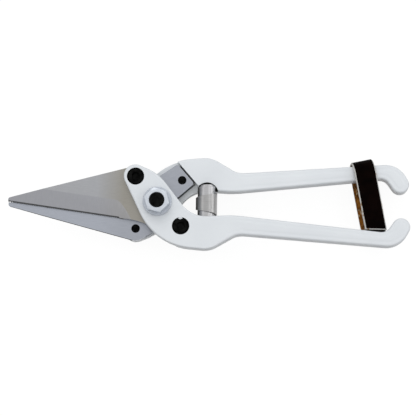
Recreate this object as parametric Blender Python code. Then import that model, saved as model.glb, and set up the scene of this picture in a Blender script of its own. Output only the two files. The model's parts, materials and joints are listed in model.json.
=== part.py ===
"""Floral snips: two cast handles, two bolted blades, a pivot bolt, a volute spring and a leather loop.

Units are metres. The pivot axis is Z, through the origin, which is the middle of the bolt head's flat face.
The handles run along +X, the rear handle's grip lies at +Y, and the nut faces +Z. Both halves are one design:
a piece is made for the front half, about the plane where the blades meet, and its twin is turned over about X.
"""
import bmesh
import bpy
import numpy as np
from math import asin, atan2, ceil, cos, hypot, pi, radians, sin, sqrt, tau
from mathutils import Matrix, Vector

MM = 0.001

# Clearances
FACE_GAP = 0.1 * MM          # between flat faces that rest on each other
FIT_GAP = 0.2 * MM           # round a bolt or screw in its hole
HEAD_GAP = 0.35 * MM         # round a screw head in its counterbore
STEP_GAP = 1.0 * MM          # from the blade's tang to the step in the handle
SEAT_GAP = 0.3 * MM          # from the spring's ends to their seats
LOOP_GAP = 0.2 * MM          # from the leather to the corners of the grip
LOOP_END_GAP = 0.7 * MM      # from the loop's free end to the other grip

# Stack of the pivot
BLADE_THICK = 3.2 * MM
HEAD_THICK = 6.0 * MM
GRIP_THICK = 10.0 * MM
WASHER_THICK = 1.6 * MM
WASHER_RADIUS = 8.0 * MM
BOLT_RADIUS = 4.0 * MM
BOLT_HEAD_THICK = 5.3 * MM
NUT_THICK = 5.0 * MM
HEX_FLATS = 13.0 * MM
NUT_TURN = radians(-16.5)
BOLT_END = 0.5 * MM          # how far the bolt stands out of its nut

# Blade screws
SCREW_RADIUS = 2.2 * MM
SCREW_HEAD_RADIUS = 4.35 * MM
SCREW_HEAD_THICK = 3.5 * MM
SCREW_HEAD_SINK = 0.3 * MM
SOCKET_FLATS = 4.0 * MM
SOCKET_DEPTH = 2.2 * MM
HEEL_SCREW = (-12.3 * MM, 14.0 * MM)
TANG_SCREW_BACK = 3.92 * MM  # from the end of the tang
TANG_SCREW_SIDE = -1.52 * MM

# Blade; its bends are circles that its outline winds round: x, y and radius, negative where it bends inwards
BLADE_REACH = 82.35 * MM     # pivot to the middle of the rounded tip
TIP_OFFSET = 1.25 * MM
TIP_RADIUS = 1.2 * MM
EYE_RADIUS = 6.3 * MM        # round the heel screw, on blade and handle
EDGE_BEND = (-21.9 * MM, -48.4 * MM, -40.0 * MM)
EDGE_FACET = 1.1 * MM
EDGE_LAND = 0.8 * MM         # thickness left at the cutting edge
EDGE_HEEL = -20.0 * MM       # where the facet starts to run out
TANG_ANGLE = radians(-41.0)
TANG_REACH = 22.6 * MM
TANG_CORNER = 1.5 * MM
TANG_SIDES = (-7.2 * MM, 2.8 * MM)
TANG_CROOK = (12.0 * MM, 3.2 * MM, -6.0 * MM)
HEEL_BACK = (-7.3 * MM, 8.1 * MM, 9.0 * MM)
TANG_ALONG = Vector((cos(TANG_ANGLE), sin(TANG_ANGLE)))
TANG_ACROSS = Vector((-TANG_ALONG.y, TANG_ALONG.x))
TANG_SCREW = TANG_ALONG * (TANG_REACH - TANG_SCREW_BACK) + TANG_ACROSS * TANG_SCREW_SIDE

# Handle, its outline given in the same way
HANDLE_REACH = 126.2 * MM
FLANK = (20.75 * MM, 7.9 * MM, 33.5 * MM)
BELLY = (25.85 * MM, -12.1 * MM, 14.0 * MM)
VALLEY = (46.95 * MM, -29.4 * MM, -11.55 * MM)
HOOK_DROP = -10.5 * MM
HOOK_RADIUS = 12.95 * MM
HOOK_TIP = (8.05 * MM, -2.0 * MM, 4.95 * MM)      # from the hook's own middle
THROAT = (-3.0 * MM, 0.9 * MM, -5.75 * MM)       # from the hook's own middle
CREST = (40.3 * MM, -67.25 * MM, 60.15 * MM)
CROOK = (27.0 * MM, 9.4 * MM, -17.2 * MM)
SHOULDER = (-16.2 * MM, -5.4 * MM, 26.0 * MM)
HEAD_ROUND = 0.9 * MM
GRIP_ROUND = 3.4 * MM
ROUND_START = 16.0 * MM
ROUND_END = 42.0 * MM

# Spring
SPRING_X = 27.1 * MM
DISH_RADIUS = 6.4 * MM
DISH_OFFSET = 5.9 * MM       # from the long axis to the middle of each dished seat
STRIP_THICK = 0.5 * MM
STRIP_WIDTH = 6.8 * MM
STRIP_GAP = 0.5 * MM         # from edge to edge of the strip, in its open middle turns
COIL_RADIUS = 6.1 * MM
COIL_SHRINK = 1.15 * MM      # the coil's loss of radius in each turn from its middle
COIL_TURNS = 2.5
COIL_FACING = pi             # the widest place of the middle turn faces the pivot
OPEN_ANGLE = 0.9 * tau       # how far from its middle the strip has open turns
OUTER_PITCH = 3.0 * MM
STEPS_PER_TURN = 36
SAMPLES_ACROSS = 15          # points across the strip where its gap to itself is measured

# Leather loop
LOOP_BACK = 11.6 * MM        # from the middle of the hooks back to the loop
LOOP_X = HANDLE_REACH - LOOP_BACK
LOOP_WIDTH = 11.2 * MM
LOOP_LEAN = radians(11.7)    # of its straight sides, from square to the long axis
LEATHER_THICK = 1.6 * MM
LOOP_CORNER = 4.5 * MM

# Levels above the plane where the blades meet
BLADE_FACE = FACE_GAP / 2
HEAD_FACE = BLADE_FACE + BLADE_THICK + FACE_GAP
OUTER_FACE = HEAD_FACE + HEAD_THICK
GRIP_FACE = OUTER_FACE - GRIP_THICK
WASHER_FACE = OUTER_FACE + FACE_GAP
NUT_FACE = WASHER_FACE + WASHER_THICK + FACE_GAP
MEETING_Z = NUT_FACE + BOLT_HEAD_THICK

# Fineness of round stretches
ARC_STEP = radians(10.0)
ARC_LENGTH = 4.0 * MM
ROUND_STEPS = 4
CIRCLE_SIDES = 40


def new_collection(name):
    """Add an empty collection to the scene."""
    collection = bpy.data.collections.new(name)
    bpy.context.scene.collection.children.link(collection)
    return collection


for old in list(bpy.data.objects):
    bpy.data.objects.remove(old, do_unlink=True)
parts = new_collection("floral_snips")
cutters = new_collection("cutters")


def material(name, colour, roughness, metallic):
    """Plain Principled material."""
    made = bpy.data.materials.new(name)
    made.use_nodes = True
    shader = made.node_tree.nodes["Principled BSDF"]
    shader.inputs["Base Color"].default_value = (*colour, 1.0)
    shader.inputs["Roughness"].default_value = roughness
    shader.inputs["Metallic"].default_value = metallic
    return made


def place(name, mesh, finish, location=(0, 0, 0)):
    """Put a mesh in the parts' collection under its node name."""
    mesh.materials.clear()
    mesh.materials.append(finish)
    made = bpy.data.objects.new(name, mesh)
    made.location = location
    parts.objects.link(made)
    return made


def cut(target, name, mesh, operation='DIFFERENCE'):
    """Take a cutter's shape out of a part, or join it on, in the part's own place."""
    cutter = bpy.data.objects.new(name, mesh)
    cutter.location = target.location
    cutter.hide_render = True
    cutter.display_type = 'WIRE'
    cutters.objects.link(cutter)
    boolean = target.modifiers.new(name, 'BOOLEAN')
    boolean.operation = operation
    boolean.solver = 'EXACT'
    boolean.object = cutter


def turned_over(front, name):
    """The rear half's twin of a finished front piece, turned over about X on the meeting plane."""
    bpy.context.view_layer.update()
    graph = bpy.context.evaluated_depsgraph_get()
    mesh = bpy.data.meshes.new_from_object(front.evaluated_get(graph))
    twin = place(name, mesh, front.active_material, front.location)
    twin.rotation_euler = (pi, 0, 0)
    return twin


def belt(circles):
    """Points and outward normals of a line wound round circles, each x, y and signed radius."""
    headings = []
    for (x, y, radius), (next_x, next_y, next_radius) in zip(circles, circles[1:] + circles[:1]):
        span = hypot(next_x - x, next_y - y)
        headings.append(atan2(next_y - y, next_x - x) + asin((radius - next_radius) / span))
    outline = []
    for index, (x, y, radius) in enumerate(circles):
        start = headings[index - 1]
        turn = (headings[index] - start) % tau
        if radius < 0:
            turn -= tau
        steps = ceil(max(abs(turn) / ARC_STEP, abs(turn * radius) / ARC_LENGTH))
        for step in range(steps + 1):
            angle = start + turn * step / steps - pi / 2
            normal = Vector((cos(angle), sin(angle)))
            outline.append((Vector((x, y)) + radius * normal, normal))
    return outline


def regular(sides, radius, centre=(0, 0), turn=0.0):
    """Corners and outward normals of a regular polygon, which stands for a circle if it has many sides."""
    outline = []
    for index in range(sides):
        angle = turn + tau * index / sides
        normal = Vector((cos(angle), sin(angle)))
        outline.append((Vector(centre) + radius * normal, normal))
    return outline


def lofted(name, outline, levels):
    """Closed solid through rings of one outline; a level gives each point its height and its inset."""
    shape = bmesh.new()
    rings = []
    for level in levels:
        ring = []
        for point, normal in outline:
            height, inset = level(point, normal)
            spot = point - normal * inset
            ring.append(shape.verts.new((spot.x, spot.y, height)))
        rings.append(ring)
    for low, high in zip(rings, rings[1:]):
        for index in range(len(outline)):
            shape.faces.new((low[index - 1], low[index], high[index], high[index - 1]))
    shape.faces.new(rings[0][::-1])
    shape.faces.new(rings[-1])
    mesh = bpy.data.meshes.new(name)
    shape.to_mesh(mesh)
    shape.free()
    return mesh


def level(height, inset=0.0):
    """A level that is the same all round."""
    return lambda point, normal: (height, inset)


def prism(name, outline, low, high):
    """Straight solid between two heights."""
    return lofted(name, outline, [level(low), level(high)])


def bore(target, name, radius, low, high, centre=(0, 0)):
    """Cut a round hole along Z."""
    cut(target, name, prism(name, regular(CIRCLE_SIDES, radius, centre), low, high))


def hex_radius(flats):
    """Radius to the corners of a hexagon from its size across flats."""
    return flats / 2 / cos(pi / 6)


def handle_circles():
    """What the handle's outline winds round, anticlockwise from the heel screw."""
    hook = (HANDLE_REACH, HOOK_DROP, HOOK_RADIUS)
    hook_tip = (HANDLE_REACH + HOOK_TIP[0], HOOK_DROP + HOOK_TIP[1], HOOK_TIP[2])
    throat = (HANDLE_REACH + THROAT[0], HOOK_DROP + THROAT[1], THROAT[2])
    eye = (*HEEL_SCREW, EYE_RADIUS)
    return [eye, FLANK, BELLY, VALLEY, hook, hook_tip, throat, CREST, CROOK, SHOULDER]


def edge_round(point):
    """Rounding of the handle's edges: small at the head, full along the grip."""
    share = (point.x - ROUND_START) / (ROUND_END - ROUND_START)
    share = min(max(share, 0.0), 1.0)
    return HEAD_ROUND + (GRIP_ROUND - HEAD_ROUND) * share * share * (3 - 2 * share)


def lower_round(angle):
    """Level on the rounding under the handle, from its flat face at 0 to its side at a quarter turn."""
    def ring(point, normal):
        radius = edge_round(point)
        return GRIP_FACE + radius * (1 - cos(angle)), radius * (1 - sin(angle))
    return ring


def upper_round(angle):
    """Level on the rounding over the handle, from its side at 0 to its flat face at a quarter turn."""
    def ring(point, normal):
        radius = edge_round(point)
        return OUTER_FACE - radius * (1 - sin(angle)), radius * (1 - cos(angle))
    return ring


def make_handle(name, finish):
    """Cast handle with a recess for the blade, a dished spring seat and the screws' counterbores."""
    angles = [pi / 2 * step / ROUND_STEPS for step in range(ROUND_STEPS + 1)]
    levels = [lower_round(angle) for angle in angles] + [upper_round(angle) for angle in angles]
    handle = place(name, lofted(name, belt(handle_circles()), levels), finish, (0, 0, MEETING_Z))

    middle = TANG_ALONG * (TANG_REACH + STEP_GAP - BLADE_REACH)
    square = regular(4, BLADE_REACH * sqrt(2), middle, TANG_ANGLE + pi / 4)
    cut(handle, name + "_recess", prism("recess", square, GRIP_FACE - GRIP_THICK, HEAD_FACE))

    dish = bmesh.new()
    bmesh.ops.create_uvsphere(dish, u_segments=32, v_segments=16, radius=DISH_RADIUS,
                              matrix=Matrix.Translation((SPRING_X, -DISH_OFFSET, 0)))
    dish_mesh = bpy.data.meshes.new("dish")
    dish.to_mesh(dish_mesh)
    dish.free()
    cut(handle, name + "_dish", dish_mesh)

    below = GRIP_FACE - GRIP_THICK
    above = OUTER_FACE + GRIP_THICK
    bore(handle, name + "_pivot_bore", BOLT_RADIUS + FIT_GAP, below, above)
    sunk = OUTER_FACE - SCREW_HEAD_SINK - SCREW_HEAD_THICK - FACE_GAP
    for label, centre in (("heel", HEEL_SCREW), ("tang", TANG_SCREW)):
        bore(handle, name + "_" + label + "_hole", SCREW_RADIUS + FIT_GAP, below, above, centre)
        bore(handle, name + "_" + label + "_counterbore", SCREW_HEAD_RADIUS + HEAD_GAP, sunk, above, centre)
    return handle


def blade_circles():
    """What the blade's outline winds round, anticlockwise from the tip."""
    corners = [TANG_ALONG * (TANG_REACH - TANG_CORNER) + TANG_ACROSS * side for side in TANG_SIDES]
    tang = [(*corner, TANG_CORNER) for corner in corners]
    eye = (*HEEL_SCREW, EYE_RADIUS)
    return [(-BLADE_REACH, TIP_OFFSET, TIP_RADIUS), EDGE_BEND, *tang, TANG_CROOK, HEEL_BACK, eye]


def edge_facet(point, normal):
    """Outer face of the blade, set back along the cutting edge by the ground facet."""
    run_out = min(max((EDGE_HEEL - point.x) / EDGE_HEEL + 1.0, 0.0), 1.0)
    return BLADE_FACE + BLADE_THICK, EDGE_FACET * max(-normal.y, 0.0) * run_out


def make_blade(name, finish):
    """Flat blade, ground along its cutting edge, with its tang and three holes."""
    levels = [level(BLADE_FACE), level(BLADE_FACE + EDGE_LAND), edge_facet]
    blade = place(name, lofted(name, belt(blade_circles()), levels), finish, (0, 0, MEETING_Z))
    above = BLADE_FACE + 2 * BLADE_THICK
    below = BLADE_FACE - BLADE_THICK
    bore(blade, name + "_pivot_bore", BOLT_RADIUS + FIT_GAP, below, above)
    for label, centre in (("heel", HEEL_SCREW), ("tang", TANG_SCREW)):
        bore(blade, name + "_" + label + "_hole", SCREW_RADIUS + FIT_GAP, below, above, centre)
    return blade


def make_screw(name, centre, finish):
    """Low-head socket screw, sunk in the handle, with its end flush with the blade's inner face."""
    top = OUTER_FACE - SCREW_HEAD_SINK
    seat = top - SCREW_HEAD_THICK
    neck = SCREW_HEAD_RADIUS - SCREW_RADIUS
    chamfer = SCREW_HEAD_SINK
    levels = [
        level(BLADE_FACE, neck + chamfer),
        level(BLADE_FACE + chamfer, neck),
        level(seat, neck),
        level(seat),
        level(top - chamfer),
        level(top, chamfer),
    ]
    screw = place(name, lofted(name, regular(CIRCLE_SIDES, SCREW_HEAD_RADIUS, centre), levels), finish,
                  (0, 0, MEETING_Z))
    socket = regular(6, hex_radius(SOCKET_FLATS), centre)
    cut(screw, name + "_socket", prism("socket", socket, top - SOCKET_DEPTH, top + SOCKET_DEPTH))
    return screw


def make_pivot(steel, zinc):
    """Bolt from the rear, a washer under its head and one under the nut, and the nut."""
    nut_top = NUT_FACE + NUT_THICK
    shank = prism("shank", regular(CIRCLE_SIDES, BOLT_RADIUS), -NUT_FACE - BOLT_HEAD_THICK / 2,
                  nut_top + BOLT_END)
    head = prism("bolt_head", regular(6, hex_radius(HEX_FLATS)), -NUT_FACE - BOLT_HEAD_THICK, -NUT_FACE)
    bolt = place("pivot_bolt", head, steel, (0, 0, MEETING_Z))
    cut(bolt, "bolt_shank", shank, 'UNION')

    washer = prism("washer", regular(CIRCLE_SIDES, WASHER_RADIUS), WASHER_FACE, WASHER_FACE + WASHER_THICK)
    nut_washer = place("nut_washer", washer, zinc, (0, 0, MEETING_Z))
    bore(nut_washer, "washer_bore", BOLT_RADIUS + FIT_GAP, 0, 2 * nut_top)
    turned_over(nut_washer, "bolt_washer")

    nut_mesh = prism("nut", regular(6, hex_radius(HEX_FLATS), turn=NUT_TURN), NUT_FACE, nut_top)
    nut = place("pivot_nut", nut_mesh, zinc, (0, 0, MEETING_Z))
    bore(nut, "nut_bore", BOLT_RADIUS + FIT_GAP, 0, 2 * nut_top)


def coil_radius(angle):
    """Middle radius of the strip; the widest turn is at angle 0."""
    return COIL_RADIUS - COIL_SHRINK * abs(angle) / tau


def coil_rise(angle):
    """How far along its axis the strip's middle is, with an open turn in the middle."""
    middle = min(abs(angle), OPEN_ANGLE) * (STRIP_WIDTH + STRIP_GAP) / tau
    rest = max(abs(angle) - OPEN_ANGLE, 0.0) * OUTER_PITCH / tau
    return (middle + rest) * (1 if angle > 0 else -1)


def spring_end():
    """Half the spring's length: where its end coil would meet the dished seat, less the gap."""
    end_radius = coil_radius(COIL_TURNS * pi) + STRIP_THICK / 2 + FIT_GAP
    return DISH_OFFSET + sqrt(DISH_RADIUS ** 2 - end_radius ** 2) - SEAT_GAP


def make_spring(finish):
    """Double volute: one strip, widest at its middle turn, smaller towards both ends, with flat ends."""
    shape = bmesh.new()
    end = spring_end()
    count = ceil(COIL_TURNS * STEPS_PER_TURN)
    surface = []
    previous = None
    for step in range(count + 1):
        angle = COIL_TURNS * pi * (2 * step / count - 1)
        radius = coil_radius(angle)
        low = max(coil_rise(angle) - STRIP_WIDTH / 2, -end)
        high = min(coil_rise(angle) + STRIP_WIDTH / 2, end)
        ray = Vector((cos(angle + COIL_FACING), 0, sin(angle + COIL_FACING)))
        inside = ray * (radius - STRIP_THICK / 2)
        outside = ray * (radius + STRIP_THICK / 2)
        section = []
        for spot, rise in ((inside, low), (outside, low), (outside, high), (inside, high)):
            section.append(shape.verts.new((spot.x, rise, spot.z)))
        for rise in np.linspace(low, high, SAMPLES_ACROSS):
            for spot in (inside, outside):
                surface.append((angle, spot.x, rise, spot.z))
        if previous is None:
            shape.faces.new(section)
        else:
            for index in range(4):
                shape.faces.new((previous[index - 1], previous[index], section[index], section[index - 1]))
        previous = section
    shape.faces.new(previous[::-1])
    bmesh.ops.recalc_face_normals(shape, faces=shape.faces)
    mesh = bpy.data.meshes.new("volute_spring")
    shape.to_mesh(mesh)
    shape.free()
    place("volute_spring", mesh, finish, (SPRING_X, 0, MEETING_Z))
    print("volute_spring least gap to itself, mm:", round(strip_gap(np.array(surface)) / MM, 3))


def strip_gap(surface):
    """Least distance between points on the strip's faces that are over half a turn apart."""
    least = np.inf
    for angle, *spot in surface:
        others = surface[np.abs(surface[:, 0] - angle) > pi, 1:]
        if len(others):
            least = min(least, np.linalg.norm(others - spot, axis=1).min())
    return least


def grip_edges(x):
    """Lower and upper edge of the front grip at a place along it."""
    outline = [point for point, normal in belt(handle_circles())]
    crossings = []
    for start, end in zip(outline, outline[1:] + outline[:1]):
        if (start.x - x) * (end.x - x) < 0:
            crossings.append(start.y + (end.y - start.y) * (x - start.x) / (end.x - start.x))
    return min(crossings), max(crossings)


def hang_loop(mesh, reach):
    """Lean a loop that was made along X: its top lies square to its sides, its free end along the long axis."""
    sides = Vector((sin(LOOP_LEAN), -cos(LOOP_LEAN), 0))
    for vertex in mesh.vertices:
        down, rise, across = vertex.co
        angle = LOOP_LEAN * (1 - down / reach)
        vertex.co = down * sides - across * Vector((cos(angle), sin(angle), 0)) + Vector((0, 0, rise))


def make_loop(finish):
    """Leather loop round the rear grip, with its free end near the front grip."""
    low, high = grip_edges(LOOP_X)
    low_before, high_before = grip_edges(LOOP_X - LOOP_WIDTH)
    middle = -(low + high) / 2
    slope = atan2(middle + (low_before + high_before) / 2, LOOP_WIDTH)
    half_wide = (high_before - low_before) / 2 - GRIP_ROUND
    half_thick = GRIP_THICK / 2 - GRIP_ROUND
    tilt = sin(LOOP_LEAN - slope) * LOOP_WIDTH / 2
    inner = hypot(half_wide, half_thick) + GRIP_ROUND + LOOP_GAP + tilt
    outer = inner + LEATHER_THICK

    reach = middle - high - LOOP_END_GAP
    for settling_round in range(4):
        end_x = LOOP_X + reach * sin(LOOP_LEAN) - LOOP_WIDTH / 2
        reach = (middle - grip_edges(end_x)[1] - LOOP_END_GAP) / cos(LOOP_LEAN)

    def ring(radius, end, corner):
        side = radius - corner
        return belt([(0, 0, radius), (end - corner, -side, corner), (end - corner, side, corner)])

    outside = prism("loop_outside", ring(outer, reach, LOOP_CORNER), -LOOP_WIDTH / 2, LOOP_WIDTH / 2)
    inside = prism("loop_inside", ring(inner, reach - LEATHER_THICK, LOOP_CORNER - LEATHER_THICK),
                   -LOOP_WIDTH, LOOP_WIDTH)
    hang_loop(outside, reach)
    hang_loop(inside, reach)
    grip_middle = MEETING_Z - (GRIP_FACE + OUTER_FACE) / 2
    loop = place("leather_loop", outside, finish, (LOOP_X, middle, grip_middle))
    cut(loop, "loop_inside", inside)
    print("leather_loop axis point, mm:", [round(value / MM, 3) for value in loop.location],
          "direction:", [round(value, 5) for value in (cos(slope), sin(slope))],
          "inner radius, mm:", round(inner / MM, 3), "reach, mm:", round(reach / MM, 3))


white_coat = material("white_coat", (0.80, 0.81, 0.82), 0.45, 0.0)
blade_steel = material("blade_steel", (0.42, 0.42, 0.43), 0.38, 1.0)
black_oxide = material("black_oxide", (0.02, 0.02, 0.022), 0.42, 0.6)
zinc_plate = material("zinc_plate", (0.62, 0.63, 0.65), 0.28, 1.0)
spring_steel = material("spring_steel", (0.66, 0.66, 0.67), 0.18, 1.0)
dark_leather = material("dark_leather", (0.03, 0.02, 0.016), 0.65, 0.0)

turned_over(make_handle("front_handle", white_coat), "rear_handle")
turned_over(make_blade("upper_blade", blade_steel), "lower_blade")
turned_over(make_screw("front_heel_screw", HEEL_SCREW, black_oxide), "rear_heel_screw")
turned_over(make_screw("front_tang_screw", TANG_SCREW, black_oxide), "rear_tang_screw")
make_pivot(black_oxide, zinc_plate)
make_spring(spring_steel)
make_loop(dark_leather)
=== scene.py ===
"""Looks of the floral snips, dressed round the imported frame.

Units are metres, in the part's own frame: the pivot is the Z axis, the handles run along +X and the nut
faces +Z. A piece of the front half is made about the plane where the blades meet, and its twin is turned
over about X.
"""
import json
from contextlib import contextmanager
from math import asin, atan2, ceil, cos, hypot, pi, radians, sin, sqrt, tau

import bmesh
import bpy
from mathutils import Matrix, Vector


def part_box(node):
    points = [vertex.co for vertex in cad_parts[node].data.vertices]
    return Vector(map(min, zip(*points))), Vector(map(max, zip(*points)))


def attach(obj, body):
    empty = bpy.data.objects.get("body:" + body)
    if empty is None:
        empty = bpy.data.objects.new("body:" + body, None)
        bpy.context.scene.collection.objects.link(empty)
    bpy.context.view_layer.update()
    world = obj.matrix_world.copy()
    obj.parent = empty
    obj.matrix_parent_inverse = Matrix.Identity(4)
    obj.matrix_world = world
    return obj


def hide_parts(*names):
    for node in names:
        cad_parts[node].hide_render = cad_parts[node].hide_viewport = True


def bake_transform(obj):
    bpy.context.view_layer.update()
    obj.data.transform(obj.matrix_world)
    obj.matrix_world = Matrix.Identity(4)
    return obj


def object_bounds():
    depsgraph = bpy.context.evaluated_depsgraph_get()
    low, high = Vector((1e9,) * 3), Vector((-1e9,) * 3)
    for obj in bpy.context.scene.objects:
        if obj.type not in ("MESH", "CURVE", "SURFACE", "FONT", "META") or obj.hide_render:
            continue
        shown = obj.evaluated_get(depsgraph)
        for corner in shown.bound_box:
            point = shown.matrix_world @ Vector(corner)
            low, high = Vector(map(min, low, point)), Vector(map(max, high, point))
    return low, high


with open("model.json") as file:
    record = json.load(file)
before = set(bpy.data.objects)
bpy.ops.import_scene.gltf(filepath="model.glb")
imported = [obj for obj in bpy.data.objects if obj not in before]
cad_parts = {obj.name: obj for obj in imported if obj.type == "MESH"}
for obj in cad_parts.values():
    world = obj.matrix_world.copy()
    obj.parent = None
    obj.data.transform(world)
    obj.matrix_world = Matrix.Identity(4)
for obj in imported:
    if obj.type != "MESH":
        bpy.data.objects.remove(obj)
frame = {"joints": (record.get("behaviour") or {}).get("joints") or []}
cad_low, cad_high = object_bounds()

MM = 0.001
joints = {joint["name"]: joint for joint in frame["joints"]}

# Levels above the plane where the blades meet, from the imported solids
MEETING_Z = joints["pivot"]["pos_m"][2]
GRIP_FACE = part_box("front_handle")[0].z - MEETING_Z
OUTER_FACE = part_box("front_handle")[1].z - MEETING_Z
BLADE_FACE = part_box("upper_blade")[0].z - MEETING_Z
BLADE_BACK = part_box("upper_blade")[1].z - MEETING_Z
WASHER_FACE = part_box("nut_washer")[0].z - MEETING_Z
WASHER_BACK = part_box("nut_washer")[1].z - MEETING_Z
NUT_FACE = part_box("pivot_nut")[0].z - MEETING_Z
NUT_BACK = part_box("pivot_nut")[1].z - MEETING_Z
BOLT_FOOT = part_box("pivot_bolt")[0].z - MEETING_Z
BOLT_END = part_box("pivot_bolt")[1].z - MEETING_Z
SCREW_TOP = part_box("front_heel_screw")[1].z - MEETING_Z
FACE_GAP = 0.1 * MM
HEAD_FACE = BLADE_BACK + FACE_GAP

# Handle, as circles that its outline winds round: x, y and radius, negative where it bends inwards
HANDLE_REACH = 126.2 * MM
HOOK_DROP = -10.5 * MM
HEEL_SCREW = Vector((-12.3 * MM, 14.0 * MM, 0))
TANG_SCREW = Vector((13.1 * MM, -13.4 * MM, 0))
EYE = (HEEL_SCREW.x - 0.2 * MM, HEEL_SCREW.y + 0.25 * MM, 6.4 * MM)
FLANK = (20.75 * MM, 7.9 * MM, 33.5 * MM)
BELLY = (25.85 * MM, -12.1 * MM, 14.0 * MM)
VALLEY = (46.95 * MM, -29.4 * MM, -11.55 * MM)
HOOK = (HANDLE_REACH, HOOK_DROP, 12.95 * MM)
HOOK_TIP = (HANDLE_REACH + 8.05 * MM, HOOK_DROP - 2.0 * MM, 4.95 * MM)
THROAT = (HANDLE_REACH - 3.0 * MM, HOOK_DROP + 0.9 * MM, -5.75 * MM)
CREST = (40.3 * MM, -67.25 * MM, 60.15 * MM)
CROOK = (27.0 * MM, 9.4 * MM, -17.2 * MM)
SHOULDER = (-16.2 * MM, -5.4 * MM, 26.0 * MM)
HANDLE = [EYE, FLANK, BELLY, VALLEY, HOOK, HOOK_TIP, THROAT, CREST, CROOK, SHOULDER]
HEAD_ROUND = 0.9 * MM
GRIP_ROUND = 1.3 * MM
CROWN = 0.32 * MM            # how far the rims of the grip's broad faces lie below their middle
CROWN_DROPS = (0.15 * MM, 0.05 * MM, 0.0)  # the same for the inner edges of the rings inside the rims
CROWN_STEP = 0.8 * MM        # width of each ring
CROWN_START = 30.0 * MM      # along X, where the crown starts and where it is full
CROWN_END = 60.0 * MM
PAINT_RIM = 0.12 * MM        # rounding of the painted rims of the holes
PAINT_RUN = Vector((-0.3 * MM, 4.55 * MM, -0.45 * MM))  # from the tang screw's axis at the outer face
PAINT_RUN_RADII = (1.3 * MM, 0.9 * MM, 0.45 * MM)

# Blade
TIP = (-82.35 * MM, 1.25 * MM, 1.2 * MM)
TIP_CORNER = (-83.2 * MM, 0.4 * MM, 0.35 * MM)
EDGE_BEND = (-21.9 * MM, -48.7 * MM, -40.0 * MM)
TANG_ANGLE = radians(-41.0)
TANG_REACH = 22.6 * MM
TANG_CORNER = 1.5 * MM
TANG_SIDES = (-8.7 * MM, 2.8 * MM)
TANG_EDGE = TANG_SIDES[1] + TANG_CORNER
TANG_FAR_EDGE = TANG_SIDES[0] - TANG_CORNER
TANG_CROOK = (12.0 * MM, 3.2 * MM, -6.0 * MM)
HEEL_BACK = (-7.3 * MM, 8.1 * MM, 9.0 * MM)
STEP_GAP = 1.0 * MM
SEAT_RIM = 2.2 * MM          # rounding of the seat's outer rim
BLADE_EASE = 0.15 * MM
GRIND_WIDTH = 9.6 * MM       # from the cutting edge to the line where the broad grind starts
GRIND_SLOPE = radians(8.9)
PLUNGE_BACK = 2.0 * MM       # from the end of the straight edge to where the grind ends
PLUNGE_SKEW = 0.36
PLUNGE_RAMP = 2.6
PLUNGE_EASE = 2.5 * MM
PLUNGE_SEGMENTS = 5
EDGE_LAND = 1.15 * MM
FACET_SLOPE = radians(43.0)
FACET_BACK = 5.4 * MM
FACET_RAMP = 2.0
TOOTH_PITCH = 1.2 * MM
TOOTH_DEPTH = 0.35 * MM
HEEL_REFLECTION_START = -34.0 * MM  # along X, where the painted warm reflection and shade on the heel starts and where it is full
HEEL_REFLECTION_END = -19.0 * MM

# Screws, bolt, nut and washers
SCREW_RADIUS = 2.2 * MM
SCREW_HEAD_RADIUS = 4.35 * MM
SCREW_HEAD_THICK = 3.5 * MM
SCREW_HEAD_ROUND = 0.45 * MM
SCREW_CHAMFER = 0.3 * MM
SOCKET_FLATS = 4.0 * MM
SOCKET_DEPTH = 2.2 * MM
SOCKET_MOUTH = 2.32 * MM     # radius of the socket's countersunk mouth
FIT_GAP = 0.2 * MM
HEAD_GAP = 0.35 * MM
BOLT_RADIUS = 4.0 * MM
BOLT_CHAMFER = 0.7 * MM
BOLT_DIMPLE = 1.1 * MM
HEX_FLATS = 13.0 * MM
HEX_DROP = 0.5 * MM          # how far the turned-off corners lie below the hexagon's faces
HEX_FACE_GAP = 0.1 * MM      # from the round face of the hexagon to its flats
NUT_FLATS = 12.3 * MM
NUT_TURN = radians(15.0)
NUT_FLARE = 0.15 * MM
WASHER_RADIUS = 8.0 * MM
WASHER_ROUND = 0.3 * MM

# Spring
SPRING_X = 27.1 * MM
DISH_RADIUS = 6.4 * MM
DISH_OFFSET = 5.9 * MM
STRIP_THICK = 0.5 * MM
COIL_RADIUS = 5.95 * MM      # of the strip's middle at its outer end
COIL_SHRINK = 1.0 * MM       # in each turn inwards
COIL_TURNS = 2.5
OUTER_HALF = 3.2 * MM        # half the strip's width at its outer end
TURN_SPREAD = 6.0 * MM       # what each of its edges gains in a turn, until the dish stops it
SEAT_GAP = 0.15 * MM

# Leather loop
LOOP_MIDDLE = Vector(joints["loop_swing"]["pos_m"])
LOOP_LEAN = radians(10.8)
LOOP_TURN = radians(6.4)     # of the strap's face, towards the hooks
LOOP_PIN = 5.8 * MM          # level in the loop that this turn leaves in its place
LOOP_WIDTH = 11.9 * MM
LEATHER_THICK = 1.25 * MM
LEATHER_CHAMFER = 0.5 * MM
LAP_LIP = 0.9 * MM           # from the cut end of the lap to the end of the loop
LAP_LENGTH = 8.8 * MM        # of the straight part that lies under the front side
LOOP_CORNER = 4.5 * MM
LOOP_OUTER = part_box("leather_loop")[1].z - LOOP_MIDDLE.z
LOOP_EXTRA = 0.3 * MM        # what its sides are longer than the solid's
LOOP_REACH = (LOOP_MIDDLE.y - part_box("leather_loop")[0].y) / cos(LOOP_LEAN) + LOOP_EXTRA

# Fineness
ARC_STEP = radians(4.0)
ARC_LENGTH = 2.0 * MM
ROUND_SIDES = 72
ROUND_SEGMENTS = 6
STRAP_SIDE_STEPS = 14
STRAP_ARC_STEPS = 24
STRAP_CORNER_STEPS = 8
STRAP_LAP_STEPS = 4
STRAP_ACROSS_STEPS = 6
SHARP_ANGLE = radians(30.0)  # between faces, from which ease() rounds their edge
SMOOTH_ANGLE = radians(32.0)  # between faces, up to which they are shaded as one
MERGE = 0.001 * MM

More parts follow.
